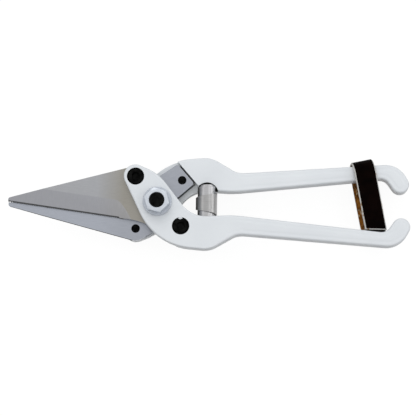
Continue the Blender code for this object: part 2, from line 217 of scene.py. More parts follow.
# Material slots of the pieces that have several
HANDLE_COAT, HANDLE_SEAT, HANDLE_SHADED = range(3)
BLADE_FLAT, BLADE_LAPPED, BLADE_GROUND, BLADE_HONED, BLADE_SIDE, BLADE_SPINE = range(6)
LOOP_GRAIN, LOOP_SUEDE, LOOP_CUT = range(3)

# Floor, light and camera
FLOOR_HALF = 3.0
FLOOR_COLOUR = (0.12, 0.12, 0.12, 1.0)
FLOOR_GLOW = 0.92
SKY_LEVEL = 0.355            # at the horizon, to the left and right
SKY_RISE = 0.60              # what it gains straight up
SKY_BACK = 0.10              # what it gains at the horizon beyond the rear grip
SKY_LEAST = 0.06
LAMPS = [                    # name, place, size and power
    ("back_lamp", (-0.1, 0.7, 0.7), 0.6, 2.0),
    ("right_lamp", (1.3, 0.05, 0.45), 0.7, 2.4),
    ("left_lamp", (-0.8, 0.05, 0.85), 0.4, 0.5),
    ("middle_lamp", (0.6, 0.05, 0.85), 0.35, 0.5),
]
IMAGE_PIXELS = 416
PIXEL_SIZE = 0.5556 * MM     # at the meeting plane
SENSOR_WIDTH = 36.0
CAMERA_DISTANCE = 1000 * MM
CAMERA_TILT = radians(8.0)
CAMERA_YAW = radians(1.75)
CAMERA_ROLL = radians(0.92)
AIM = Vector((27.74 * MM, -2.03 * MM, MEETING_Z))


def place_object(name, data):
    """Object in the scene that holds a mesh, a lamp or a camera."""
    made = bpy.data.objects.new(name, data)
    bpy.context.scene.collection.objects.link(made)
    return made


def solid(name, shape):
    """Object in the scene from a bmesh, which is used up."""
    mesh = bpy.data.meshes.new(name)
    shape.to_mesh(mesh)
    shape.free()
    return place_object(name, mesh)


@contextmanager
def reshaped(target):
    """An object's mesh as a bmesh, which is put back into the object at the end."""
    shape = bmesh.new()
    shape.from_mesh(target.data)
    yield shape
    shape.to_mesh(target.data)
    shape.free()


def only(kind, items):
    """The elements of one kind among those that a bmesh operator gives."""
    return [item for item in items if isinstance(item, kind)]


def quarter(steps):
    """Angles from nought to a right angle, in equal steps."""
    return [pi / 2 * step / steps for step in range(steps + 1)]


def settle(target):
    """Make an object's modifiers part of its mesh."""
    bpy.context.view_layer.update()
    graph = bpy.context.evaluated_depsgraph_get()
    mesh = bpy.data.meshes.new_from_object(target.evaluated_get(graph))
    target.modifiers.clear()
    target.data = mesh


def carve(target, cutter, operation='DIFFERENCE', slot=0):
    """Cut a bmesh out of an object, or combine them otherwise; its faces take one of the material slots."""
    for face in cutter.faces:
        face.material_index = slot
    tool = solid("cutter", cutter)
    boolean = target.modifiers.new("carve", 'BOOLEAN')
    boolean.operation = operation
    boolean.solver = 'EXACT'
    boolean.object = tool
    settle(target)
    bpy.data.objects.remove(tool, do_unlink=True)


def wind(shape, circles):
    """Ring of edges wound round circles, each given as x, y and signed radius.

    Gives the straight run up to each circle.
    """
    headings = []
    for (x, y, radius), (next_x, next_y, next_radius) in zip(circles, circles[1:] + circles[:1]):
        span = hypot(next_x - x, next_y - y)
        headings.append(atan2(next_y - y, next_x - x) + asin((radius - next_radius) / span))
    arcs = []
    for index, (x, y, radius) in enumerate(circles):
        turn = (headings[index] - headings[index - 1]) % tau
        if radius < 0:
            turn -= tau
        start = headings[index - 1] - pi / 2
        first = shape.verts.new((x + radius * cos(start), y + radius * sin(start), 0))
        steps = ceil(max(abs(turn) / ARC_STEP, abs(turn * radius) / ARC_LENGTH))
        spun = bmesh.ops.spin(shape, geom=[first], cent=(x, y, 0), axis=(0, 0, 1), angle=turn, steps=steps)
        arcs.append((first, spun["geom_last"][0]))
    return [shape.edges.new((arcs[index - 1][1], arcs[index][0])) for index in range(len(arcs))]


def thicken(shape, low, high):
    """Fill a flat ring of edges and draw it up from one level to another."""
    face = bmesh.ops.contextual_create(shape, geom=shape.edges[:])["faces"][0]
    bmesh.ops.translate(shape, verts=shape.verts, vec=(0, 0, low))
    raised = bmesh.ops.extrude_face_region(shape, geom=[face])["geom"]
    bmesh.ops.translate(shape, verts=only(bmesh.types.BMVert, raised), vec=(0, 0, high - low))
    bmesh.ops.recalc_face_normals(shape, faces=shape.faces)


def turned(profile, centre=(0, 0, 0), closed=False):
    """Turned shape about a line along Z: radius and height pairs, from axis to axis or round a ring."""
    shape = bmesh.new()
    verts = [shape.verts.new((radius, 0, height)) for radius, height in profile]
    edges = [shape.edges.new(pair) for pair in zip(verts, verts[1:])]
    if closed:
        edges.append(shape.edges.new((verts[-1], verts[0])))
    bmesh.ops.spin(shape, geom=verts + edges, cent=(0, 0, 0), axis=(0, 0, 1), angle=tau, steps=ROUND_SIDES,
                   use_merge=True)
    bmesh.ops.remove_doubles(shape, verts=shape.verts, dist=MERGE)
    bmesh.ops.recalc_face_normals(shape, faces=shape.faces)
    bmesh.ops.translate(shape, verts=shape.verts, vec=centre)
    return shape


def rod(radius, low, high, centre=(0, 0, 0)):
    """Round bar along Z."""
    return turned([(0, low), (radius, low), (radius, high), (0, high)], centre)


def corner_radius(flats):
    """From the middle of a hexagon to its corners."""
    return flats / 2 / cos(pi / 6)


def hexagon(flats, low, high, turn=0.0, centre=(0, 0, 0)):
    """Six-sided bar along Z."""
    shape = bmesh.new()
    radius = corner_radius(flats)
    middle = Vector(centre) + Vector((0, 0, (low + high) / 2))
    place = Matrix.Translation(middle) @ Matrix.Rotation(turn, 4, 'Z')
    bmesh.ops.create_cone(shape, cap_ends=True, segments=6, radius1=radius, radius2=radius, depth=high - low,
                          matrix=place)
    return shape


def block(low, high):
    """Box between two corners."""
    shape = bmesh.new()
    low, high = Vector(low), Vector(high)
    place = Matrix.Translation((low + high) / 2) @ Matrix.Diagonal((*(high - low), 1))
    bmesh.ops.create_cube(shape, size=1, matrix=place)
    return shape


def bevel(shape, edges, width, segments, clamp=True):
    """Round some edges, or chamfer them with one segment; gives the new faces."""
    return bmesh.ops.bevel(shape, geom=edges, offset=width, offset_type='OFFSET', affect='EDGES',
                           segments=segments, profile=0.5, material=-1, clamp_overlap=clamp)["faces"]


def ease(shape, width, segments, wanted=None):
    """Round the sharp edges of a shape, or those of them that are wanted; gives the new faces."""
    edges = []
    for edge in shape.edges:
        if edge.calc_face_angle(0) > SHARP_ANGLE and (wanted is None or wanted(edge)):
            edges.append(edge)
    return bevel(shape, edges, width, segments)


def dress(piece, node, body, finishes):
    """Give a piece in its place its materials, smooth shading, body and the node that it stands for."""
    piece.name = node + "_finish"
    piece.data.name = piece.name
    for index, finish in enumerate(finishes):
        if index < len(piece.data.materials):
            piece.data.materials[index] = finish
        else:
            piece.data.materials.append(finish)
    piece.data.shade_smooth()
    piece.data.set_sharp_from_angle(angle=SMOOTH_ANGLE)
    weighted = piece.modifiers.new("weighted_normals", 'WEIGHTED_NORMAL')
    weighted.keep_sharp = True
    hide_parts(node)
    if body:
        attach(piece, body)


def dress_pair(front, nodes, finishes):
    """Dress a front piece that was made about the meeting plane, and its twin in the rear half."""
    front_node, rear_node = nodes
    twin = place_object("twin", front.data.copy())
    lift = Matrix.Translation((0, 0, MEETING_Z))
    front.data.transform(lift)
    twin.data.transform(lift @ Matrix.Rotation(pi, 4, 'X'))
    dress(front, front_node, "front_half", finishes)
    dress(twin, rear_node, "rear_half", finishes)


# Materials

def new_finish(name, roughness, metallic=0.0, specular=0.5):
    """Principled material; gives the material, its node tree and its shader."""
    made = bpy.data.materials.new(name)
    made.use_nodes = True
    shader = made.node_tree.nodes["Principled BSDF"]
    shader.inputs["Roughness"].default_value = roughness
    shader.inputs["Metallic"].default_value = metallic
    shader.inputs["Specular IOR Level"].default_value = specular
    return made, made.node_tree, shader


def add_node(tree, kind, inputs, **settings):
    """Shader node whose sockets take plain values or other nodes' outputs."""
    node = tree.nodes.new(kind)
    for name, value in settings.items():
        setattr(node, name, value)
    for socket, value in inputs.items():
        if isinstance(value, bpy.types.NodeSocket):
            tree.links.new(value, node.inputs[socket])
        else:
            node.inputs[socket].default_value = value
    return node


def reckon(tree, operation, *values):
    """Outcome of a sum on plain values or other nodes' outputs."""
    return add_node(tree, "ShaderNodeMath", dict(enumerate(values)), operation=operation).outputs[0]


def own_coordinates(tree, stretch=(1, 1, 1)):
    """The piece's own coordinates, stretched."""
    place = tree.nodes.new("ShaderNodeTexCoord").outputs["Object"]
    return add_node(tree, "ShaderNodeMapping", {"Vector": place, "Scale": stretch}).outputs["Vector"]


def noise(tree, scale, detail=2.0, stretch=(1, 1, 1), roughness=0.5):
    """Noise on the piece's own coordinates."""
    return add_node(tree, "ShaderNodeTexNoise", {"Vector": own_coordinates(tree, stretch), "Scale": scale,
                                                 "Detail": detail, "Roughness": roughness}).outputs["Fac"]


def ramp(tree, value, stops):
    """Colour from a value by stops of place and colour."""
    node = add_node(tree, "ShaderNodeValToRGB", {"Fac": value})
    elements = node.color_ramp.elements
    while len(elements) < len(stops):
        elements.new(1.0)
    for element, (place, colour) in zip(elements, stops):
        element.position = place
        element.color = (*colour, 1.0)
    return node.outputs["Color"]


def spread(tree, value, low, high, start=0.0, end=1.0):
    """Value from low to high as another goes from start to end."""
    return add_node(tree, "ShaderNodeMapRange", {"Value": value, "From Min": start, "From Max": end,
                                                 "To Min": low, "To Max": high}).outputs["Result"]


def blend_colours(tree, share, first, second, blend_type='MIX'):
    """Two colours, plain or other nodes' outputs, mixed by the share that another node gives."""
    node = add_node(tree, "ShaderNodeMix", {}, data_type='RGBA', blend_type=blend_type)
    for socket, value in ((node.inputs[0], share), (node.inputs[6], first), (node.inputs[7], second)):
        if isinstance(value, bpy.types.NodeSocket):
            tree.links.new(value, socket)
        else:
            socket.default_value = (*value, 1.0)
    return node.outputs[2]


def bump(tree, shader, height, strength, distance):
    """Fine relief on a shader."""
    node = add_node(tree, "ShaderNodeBump", {"Height": height, "Strength": strength, "Distance": distance})
    tree.links.new(node.outputs["Normal"], shader.inputs["Normal"])


def white_coat():
    """Satin powder coat: faint mottling, orange peel and a few grey specks."""
    made, tree, shader = new_finish("white_coat", 0.42)
    mottle = ramp(tree, noise(tree, 45.0, 3.0), [(0.3, (0.695, 0.726, 0.758)), (0.7, (0.73, 0.761, 0.79))])
    speck = spread(tree, noise(tree, 520.0, 1.0), 0.0, 0.25, 0.78, 0.84)
    tree.links.new(blend_colours(tree, speck, mottle, (0.42, 0.43, 0.44)), shader.inputs["Base Color"])
    tree.links.new(spread(tree, noise(tree, 160.0), 0.36, 0.48), shader.inputs["Roughness"])
    bump(tree, shader, noise(tree, 800.0, 2.0), 0.06, 0.05 * MM)
    return made


def seat_coat():
    """The coat on the blade's seat, greyer than on the rest of the handle. Painted shadow, with some dirt,
    makes the gaps beside the tang near-black, and a painted highlight lightens the seat beyond the tang's far
    side, where the light falls on it.
    """
    made, tree, shader = new_finish("seat_coat", 0.5)
    mottle = ramp(tree, noise(tree, 120.0, 4.0), [(0.3, (0.64, 0.67, 0.69)), (0.7, (0.73, 0.755, 0.77))])
    place = add_node(tree, "ShaderNodeSeparateXYZ", {"Vector": own_coordinates(tree)}).outputs
    side = reckon(tree, 'ABSOLUTE', place["Y"])

    def measure(x_share, side_share):
        return reckon(tree, 'MULTIPLY_ADD', side, side_share, reckon(tree, 'MULTIPLY', place["X"], x_share))

    def least(first, *others):
        for other in others:
            first = reckon(tree, 'MINIMUM', first, other)
        return first

    along = measure(cos(TANG_ANGLE), -sin(TANG_ANGLE))
    across = measure(-sin(TANG_ANGLE), -cos(TANG_ANGLE))
    end_gap = least(spread(tree, along, 0.0, 1.0, TANG_REACH - 0.3 * MM, TANG_REACH),
                    spread(tree, along, 1.0, 0.0, TANG_REACH + 0.85 * MM, TANG_REACH + 0.98 * MM),
                    spread(tree, across, 1.0, 0.0, TANG_EDGE - 1.2 * MM, TANG_EDGE + 0.8 * MM),
                    spread(tree, across, 0.0, 1.0, TANG_FAR_EDGE + 1.0 * MM, TANG_FAR_EDGE + 2.0 * MM))
    side_gap = least(spread(tree, across, 0.0, 1.0, TANG_EDGE - 0.2 * MM, TANG_EDGE),
                     spread(tree, across, 1.0, 0.0, TANG_EDGE + 0.3 * MM, TANG_EDGE + 0.7 * MM),
                     spread(tree, along, 1.0, 0.0, TANG_REACH, TANG_REACH + 0.8 * MM))
    # painted shadow, with some dirt, in the gaps beside the tang's end and side
    gap_shade_and_dirt = reckon(tree, 'MAXIMUM', end_gap, side_gap)
    # painted highlight: the seat beyond the tang's far side is coloured lighter, where the light falls on it
    lit_far_side = spread(tree, across, 1.0, 0.0, TANG_FAR_EDGE - 0.4 * MM, TANG_FAR_EDGE + 0.4 * MM)
    coat = blend_colours(tree, lit_far_side, mottle, (0.72, 0.75, 0.775))
    tree.links.new(blend_colours(tree, gap_shade_and_dirt, coat, (0.012, 0.011, 0.008)), shader.inputs["Base Color"])
    tree.links.new(spread(tree, noise(tree, 300.0), 0.42, 0.58), shader.inputs["Roughness"])
    bump(tree, shader, noise(tree, 900.0, 3.0), 0.1, 0.05 * MM)
    return made


def socket_iron():
    """Near-black painted shade, faintly mottled, for the spring's dished seat and the screws' counterbores,
    which lie in shadow.
    """
    made, tree, shader = new_finish("socket_iron", 0.7, 0.0, 0.1)
    shade_tone = ramp(tree, noise(tree, 500.0, 4.0), [(0.3, (0.008, 0.008, 0.006)), (0.75, (0.03, 0.028, 0.02))])
    tree.links.new(shade_tone, shader.inputs["Base Color"])
    bump(tree, shader, noise(tree, 1200.0, 3.0), 0.3, 0.05 * MM)
    return made


def steel(name, low, high, roughness, grain, heel_reflection=None, metallic=1.0, specular=0.5):
    """Blade steel with fine lines left by the grinding, and a painted warm reflection and shade towards its
    heel where one is given.
    """
    made, tree, shader = new_finish(name, roughness, metallic, specular)
    lines = noise(tree, 1.0, 3.0, grain, 0.65)
    colour = ramp(tree, lines, [(0.25, low), (0.75, high)])
    if heel_reflection:
        along = add_node(tree, "ShaderNodeSeparateXYZ", {"Vector": own_coordinates(tree)}).outputs["X"]
        share = spread(tree, along, 0.0, 1.0, HEEL_REFLECTION_START, HEEL_REFLECTION_END)
        colour = blend_colours(tree, share, colour, heel_reflection, 'MULTIPLY')
    tree.links.new(colour, shader.inputs["Base Color"])
    tree.links.new(spread(tree, lines, roughness - 0.06, roughness + 0.08), shader.inputs["Roughness"])
    bump(tree, shader, lines, 0.05, 0.02 * MM)
    return made


def black_oxide():
    """Black oxide on steel, a little worn."""
    made, tree, shader = new_finish("black_oxide", 0.45, 1.0)
    worn = ramp(tree, noise(tree, 380.0, 4.0),
                [(0.35, (0.003, 0.003, 0.003)), (0.75, (0.011, 0.0115, 0.011))])
    tree.links.new(worn, shader.inputs["Base Color"])
    tree.links.new(spread(tree, noise(tree, 700.0), 0.36, 0.55), shader.inputs["Roughness"])
    bump(tree, shader, noise(tree, 1500.0), 0.12, 0.03 * MM)
    return made


def zinc_plate(name, low, high, roughness):
    """Zinc plating with a cool, faintly clouded surface."""
    made, tree, shader = new_finish(name, roughness, 0.55)
    clouds = ramp(tree, noise(tree, 260.0, 2.0), [(0.3, low), (0.7, high)])
    tree.links.new(clouds, shader.inputs["Base Color"])
    sheen = spread(tree, noise(tree, 420.0), roughness - 0.05, roughness + 0.05)
    tree.links.new(sheen, shader.inputs["Roughness"])
    bump(tree, shader, noise(tree, 900.0), 0.03, 0.02 * MM)
    return made


def spring_nickel():
    """Nickel-plated strip with fine lines along it.

    It is painted darker on its outer turn, for the shade there, and a painted dark reflection makes it
    near-black and not metallic where it faces the pivot.
    """
    made, tree, shader = new_finish("spring_nickel", 0.35, 1.0, 0.1)
    lines = noise(tree, 1.0, 2.0, (150.0, 5000.0, 150.0))
    bright = ramp(tree, lines, [(0.3, (0.40, 0.40, 0.41)), (0.7, (0.49, 0.49, 0.50))])
    turn = add_node(tree, "ShaderNodeAttribute", {}, attribute_name="turn").outputs["Fac"]
    # painted shade: the outer turn is coloured darker than the inner ones
    outer_turn_shade = spread(tree, turn, 1.0, 0.0, 0.85, 1.05)
    bright = blend_colours(tree, outer_turn_shade, bright, (0.81, 0.805, 0.785), 'MULTIPLY')
    # painted reflection: near-black and not metallic on the side that faces the pivot
    side = add_node(tree, "ShaderNodeAttribute", {}, attribute_name="facing").outputs["Fac"]
    dark_reflection = spread(tree, side, 0.0, 1.0, 0.78, 0.88)
    tree.links.new(blend_colours(tree, dark_reflection, bright, (0.01, 0.009, 0.006)), shader.inputs["Base Color"])
    tree.links.new(reckon(tree, 'SUBTRACT', 1.0, dark_reflection), shader.inputs["Metallic"])
    tree.links.new(spread(tree, lines, 0.27, 0.4), shader.inputs["Roughness"])
    return made


def leather_grain():
    """Dark outer side of the strap: close pores and soft creases."""
    made, tree, shader = new_finish("leather_grain", 0.55, 0.0, 0.012)
    colour = ramp(tree, noise(tree, 230.0, 5.0),
                  [(0.3, (0.0011, 0.0004, 0.0003)), (0.75, (0.0036, 0.0013, 0.0009))])
    tree.links.new(colour, shader.inputs["Base Color"])
    cells = add_node(tree, "ShaderNodeTexVoronoi", {"Vector": own_coordinates(tree), "Scale": 1500.0},
                     feature='DISTANCE_TO_EDGE').outputs["Distance"]
    tree.links.new(spread(tree, noise(tree, 300.0), 0.48, 0.66), shader.inputs["Roughness"])
    bump(tree, shader, cells, 0.35, 0.06 * MM)
    return made


def leather_suede():
    """Tan inner side of the strap, with pale loose fibres."""
    made, tree, shader = new_finish("leather_suede", 0.9, 0.0, 0.1)
    tan_side = ramp(tree, noise(tree, 420.0, 5.0, roughness=0.7),
                    [(0.3, (0.06, 0.021, 0.003)), (0.55, (0.235, 0.088, 0.011)), (0.75, (0.34, 0.14, 0.025))])
    fleck = spread(tree, noise(tree, 900.0, 3.0, (1.0, 0.45, 1.0)), 0.0, 0.8, 0.59, 0.66)
    tree.links.new(blend_colours(tree, fleck, tan_side, (0.47, 0.38, 0.24)), shader.inputs["Base Color"])
    bump(tree, shader, noise(tree, 1600.0, 4.0), 0.5, 0.1 * MM)
    return made


def leather_edge():
    """Pale cut edge of the strap, with tan fibres."""
    made, tree, shader = new_finish("leather_edge", 0.85, 0.0, 0.15)
    fibres = ramp(tree, noise(tree, 420.0, 4.0), [(0.36, (0.25, 0.16, 0.08)), (0.46, (0.58, 0.57, 0.55))])
    tree.links.new(fibres, shader.inputs["Base Color"])
    bump(tree, shader, noise(tree, 1800.0, 3.0), 0.4, 0.08 * MM)
    return made


white = white_coat()
seat_white = seat_coat()
shaded_socket = socket_iron()
# flat, ground and lapped steel: their last colour is a painted warm reflection and shade towards the heel
flat_steel = steel("flat_steel", (0.345, 0.352, 0.37), (0.407, 0.414, 0.432), 0.34, (260.0, 4200.0, 260.0),
                   (0.82, 0.77, 0.66))
ground_steel = steel("ground_steel", (0.32, 0.325, 0.347), (0.374, 0.379, 0.405), 0.36,
                     (5200.0, 300.0, 300.0), (0.97, 0.95, 0.90))
lapped_steel = steel("lapped_steel", (0.343, 0.364, 0.413), (0.41, 0.432, 0.48), 0.32, (180.0, 3600.0, 180.0),
                     (0.93, 0.925, 0.915))
# painted shade: the honed facet is coloured dark, for the edge's bevel in shadow
honed_steel = steel("honed_steel", (0.10, 0.102, 0.105), (0.19, 0.192, 0.195), 0.4, (4200.0, 800.0, 800.0))
# painted shade: the blade's side walls and spine are near-black, and the spine has no specular reflection
side_steel = steel("side_steel", (0.05, 0.048, 0.045), (0.09, 0.087, 0.082), 0.7, (900.0, 900.0, 3000.0),
                   metallic=0.0)
back_steel = steel("back_steel", (0.06, 0.059, 0.057), (0.10, 0.098, 0.095), 0.7, (900.0, 900.0, 3000.0),
                   metallic=0.0, specular=0.0)
black = black_oxide()
nut_zinc = zinc_plate("nut_zinc", (0.56, 0.60, 0.66), (0.63, 0.67, 0.72), 0.42)
washer_zinc = zinc_plate("washer_zinc", (0.48, 0.515, 0.57), (0.53, 0.565, 0.62), 0.45)
nickel = spring_nickel()
grain = leather_grain()
suede = leather_suede()
cut_edge = leather_edge()


# Handles

def soft_step(x, start, end):
    """Share that goes smoothly from 0 at start to 1 at end."""
    share = min(max((x - start) / (end - start), 0.0), 1.0)
    return share * share * (3 - 2 * share)


def crown_grips(handle):
    """Crown the grip's two broad faces: each ring inset from a rim is higher than the ring outside it."""
    level = (GRIP_FACE + OUTER_FACE) / 2
    drops = {}
    with reshaped(handle) as shape:
        for face in sorted(shape.faces, key=lambda face: face.calc_area())[-2:]:
            for drop in CROWN_DROPS:
                bmesh.ops.inset_region(shape, faces=[face], thickness=CROWN_STEP, use_even_offset=True)
                for vert in face.verts:
                    drops[vert] = drop
        for vert in shape.verts:
            drop = drops.get(vert, CROWN) * soft_step(vert.co.x, CROWN_START, CROWN_END)
            vert.co.z += drop if vert.co.z < level else -drop


def stepped_hole(centre, hole, counterbore, seat, low):
    """Cutter for a hole with a counterbore whose painted rim is rounded over."""
    profile = [(0, low), (hole, low), (hole, seat), (counterbore, seat)]
    for angle in quarter(ROUND_SEGMENTS):
        profile.append((counterbore + PAINT_RIM * (1 - cos(angle)),
                        OUTER_FACE - PAINT_RIM * (1 - sin(angle)) + MERGE * sin(angle)))
    top = OUTER_FACE + BLADE_BACK
    profile += [(counterbore + PAINT_RIM, top), (0, top)]
    return turned(profile, centre)


def round_seat_rim(handle):
    """Round the edge between the blade's level seat and the steep side of the handle."""

    def seat_rim(edge):
        level = steep = False
        for face in edge.link_faces:
            level |= face.material_index == HANDLE_SEAT and abs(face.normal.z) > 0.9
            steep |= face.material_index == HANDLE_COAT and abs(face.normal.z) < 0.3
        return level and steep

    with reshaped(handle) as shape:
        for face in ease(shape, SEAT_RIM, segments=4, wanted=seat_rim):
            face.material_index = HANDLE_COAT


def make_handles():
    """Cast handles with rounded grips, the blade's and the spring's seats and the screws' counterbores.

    A run of heavy paint hangs into the front handle's lower counterbore.
    """
    shape = bmesh.new()
    runs = wind(shape, HANDLE)
    swells = []
    for run in (runs[HANDLE.index(VALLEY)], runs[HANDLE.index(CROOK)]):
        swells.append(sorted(vert.co.x for vert in run.verts))
        bmesh.ops.subdivide_edges(shape, edges=[run], cuts=2 * ROUND_SEGMENTS)
    thicken(shape, GRIP_FACE, OUTER_FACE)
    weight = shape.edges.layers.float.new("bevel_weight_edge")
    for edge in shape.edges:
        first, second = edge.verts
        if abs(first.co.z - second.co.z) < MERGE:
            middle = (first.co + second.co) / 2
            swell = swells[0] if middle.y < BELLY[1] else swells[1]
            width = HEAD_ROUND + (GRIP_ROUND - HEAD_ROUND) * soft_step(middle.x, *swell)
            edge[weight] = width / GRIP_ROUND
    handle = solid("handle", shape)
    rounding = handle.modifiers.new("rounding", 'BEVEL')
    rounding.limit_method = 'WEIGHT'
    rounding.width = GRIP_ROUND
    rounding.segments = 2 * ROUND_SEGMENTS
    rounding.use_clamp_overlap = False
    settle(handle)
    crown_grips(handle)

    reach = -TIP[0]
    below = 3 * GRIP_FACE - OUTER_FACE
    seat = block((-2 * reach, -reach, below), (TANG_REACH + STEP_GAP, reach, HEAD_FACE))
    bmesh.ops.rotate(seat, verts=seat.verts, cent=(0, 0, 0), matrix=Matrix.Rotation(TANG_ANGLE, 3, 'Z'))
    carve(handle, seat, slot=HANDLE_SEAT)
    round_seat_rim(handle)
    dish = bmesh.new()
    bmesh.ops.create_uvsphere(dish, u_segments=ROUND_SIDES, v_segments=ROUND_SIDES // 2, radius=DISH_RADIUS,
                              matrix=Matrix.Translation((SPRING_X, -DISH_OFFSET, 0)))
    # the dish takes the near-black painted shade
    carve(handle, dish, slot=HANDLE_SHADED)
    carve(handle, rod(BOLT_RADIUS + FIT_GAP, below, NUT_BACK))
    head_seat = SCREW_TOP - SCREW_HEAD_THICK - FACE_GAP
    # the counterbores and their holes take the near-black painted shade
    for centre in (HEEL_SCREW, TANG_SCREW):
        hole = stepped_hole(centre, SCREW_RADIUS + FIT_GAP, SCREW_HEAD_RADIUS + HEAD_GAP, head_seat, below)
        carve(handle, hole, slot=HANDLE_SHADED)
    dress_pair(handle, ("front_handle", "rear_handle"), [white, seat_white, shaded_socket])

    centre = TANG_SCREW + PAINT_RUN + Vector((0, 0, MEETING_Z + OUTER_FACE))
    place = Matrix.Translation(centre) @ Matrix.Diagonal((*PAINT_RUN_RADII, 1))
    with reshaped(handle) as shape:
        bmesh.ops.create_uvsphere(shape, u_segments=24, v_segments=12, radius=1, matrix=place)


# Blades

def make_blades():
    """Blades with a toothed edge, a broad grind that ends in a plunge, a honed facet and their holes."""
    along = Vector((cos(TANG_ANGLE), sin(TANG_ANGLE), 0))
    across = Vector((-along.y, along.x, 0))
    tang = []
    for side in TANG_SIDES:
        corner = along * (TANG_REACH - TANG_CORNER) + across * side
        tang.append((corner.x, corner.y, TANG_CORNER))
    shape = bmesh.new()
    edge_run = wind(shape, [TIP, TIP_CORNER, EDGE_BEND, *tang, TANG_CROOK, HEEL_BACK, EYE])[2]
    heel = max((vert.co.copy() for vert in edge_run.verts), key=lambda place: place.x)
    tip = min((vert.co.copy() for vert in edge_run.verts), key=lambda place: place.x)
    to_heel = (heel - tip).normalized()
    inwards = Vector((-to_heel.y, to_heel.x, 0))
    length = (heel - tip).length

    cuts = 2 * round(length / TOOTH_PITCH) - 1
    split = bmesh.ops.subdivide_edges(shape, edges=[edge_run], cuts=cuts)["geom_inner"]
    points = sorted(only(bmesh.types.BMVert, split), key=lambda vert: vert.co.x)
    for vert in points[::2]:
        if (heel - vert.co).length > FACET_BACK:
            vert.co += inwards * TOOTH_DEPTH
    thicken(shape, BLADE_FACE, BLADE_BACK)

    def plain_rim(edge):
        middle = (edge.verts[0].co + edge.verts[1].co) / 2
        level_rim = abs(edge.verts[0].co.z - edge.verts[1].co.z) < MERGE
        return level_rim and (middle - heel).dot(inwards) > 4 * TOOTH_DEPTH

    ease(shape, BLADE_EASE, segments=2, wanted=plain_rim)
    blade = solid("blade", shape)

    edge_frame = Matrix.Identity(4)
    edge_frame.col[0][:3] = to_heel
    edge_frame.col[1][:3] = inwards
    edge_frame.translation = heel

    grind = block((-2 * length, -GRIND_WIDTH * 2, 0), (-PLUNGE_BACK, 0, BLADE_BACK))
    for vert in grind.verts:
        if vert.co.x > -length:
            vert.co.x += PLUNGE_RAMP * vert.co.z - PLUNGE_SKEW * (vert.co.y + GRIND_WIDTH)
    foot = []
    for edge in grind.edges:
        if all(vert.co.x > -length and vert.co.z == 0 for vert in edge.verts):
            foot.append(edge)
    bevel(grind, foot, PLUNGE_EASE, PLUNGE_SEGMENTS, clamp=False)
    start = Matrix.Translation((0, GRIND_WIDTH, BLADE_BACK))
    place = edge_frame @ start @ Matrix.Rotation(GRIND_SLOPE, 4, 'X')
    bmesh.ops.transform(grind, verts=grind.verts, matrix=place)
    carve(blade, grind, slot=BLADE_GROUND)

    facet = block((-2 * length, -BLADE_BACK, 0), (-FACET_BACK, BLADE_BACK, BLADE_BACK))
    for vert in facet.verts:
        if vert.co.x > -length:
            vert.co.x += FACET_RAMP * vert.co.z
    start = Matrix.Translation((0, 0, BLADE_FACE + EDGE_LAND))
    place = edge_frame @ start @ Matrix.Rotation(FACET_SLOPE, 4, 'X')
    bmesh.ops.transform(facet, verts=facet.verts, matrix=place)
    carve(blade, facet, slot=BLADE_HONED)

    low = BLADE_FACE - BLADE_BACK
    high = 2 * BLADE_BACK
    for centre, radius in ((Vector(), BOLT_RADIUS), (HEEL_SCREW, SCREW_RADIUS), (TANG_SCREW, SCREW_RADIUS)):
        carve(blade, rod(radius + FIT_GAP, low, high, centre), slot=BLADE_FLAT)
    for face in blade.data.polygons:
        bare = face.center.x < EYE[0] - EYE[2]
        if face.normal.z < -0.99 and face.center.z < BLADE_FACE + FACE_GAP:
            face.material_index = BLADE_LAPPED
        elif bare and abs(face.normal.z) < 0.97 and face.normal.dot(inwards) > 0.2:
            face.material_index = BLADE_SPINE
        elif abs(face.normal.z) < 0.4:
            face.material_index = BLADE_SIDE if bare else BLADE_LAPPED
    dress_pair(blade, ("upper_blade", "lower_blade"),
               [flat_steel, lapped_steel, ground_steel, honed_steel, side_steel, back_steel])


# Fasteners

def make_screws():
    """Low-head socket screws with a rounded head, a chamfered end and a hexagon socket."""
    seat = SCREW_TOP - SCREW_HEAD_THICK
    profile = [(0, BLADE_FACE), (SCREW_RADIUS - SCREW_CHAMFER, BLADE_FACE),
               (SCREW_RADIUS, BLADE_FACE + SCREW_CHAMFER), (SCREW_RADIUS, seat), (SCREW_HEAD_RADIUS, seat)]
    for angle in quarter(ROUND_SEGMENTS):
        profile.append((SCREW_HEAD_RADIUS - SCREW_HEAD_ROUND * (1 - cos(angle)),
                        SCREW_TOP - SCREW_HEAD_ROUND * (1 - sin(angle))))
    profile.append((0, SCREW_TOP))
    mouth = [(0, SCREW_TOP - SOCKET_MOUTH), (SOCKET_MOUTH, SCREW_TOP + MERGE), (0, SCREW_TOP + SOCKET_MOUTH)]
    for label, centre in (("heel", HEEL_SCREW), ("tang", TANG_SCREW)):
        screw = solid("screw", turned(profile, centre))
        carve(screw, hexagon(SOCKET_FLATS, SCREW_TOP - SOCKET_DEPTH, SCREW_TOP + SOCKET_DEPTH, 0.0, centre))
        carve(screw, turned(mouth, centre))
        dress_pair(screw, ("front_" + label + "_screw", "rear_" + label + "_screw"), [black])


def chamfered_hexagon(flats, low, high, turn):
    """Hexagon for a spanner with its corners turned off at both faces."""
    corner = corner_radius(flats) + MERGE
    face_radius = flats / 2 - HEX_FACE_GAP
    bar = solid("hexagon", hexagon(flats, low, high, turn))
    carve(bar, turned([(0, low), (face_radius, low), (corner, low + HEX_DROP), (corner, high - HEX_DROP),
                       (face_radius, high), (0, high)]), 'INTERSECT')
    return bar


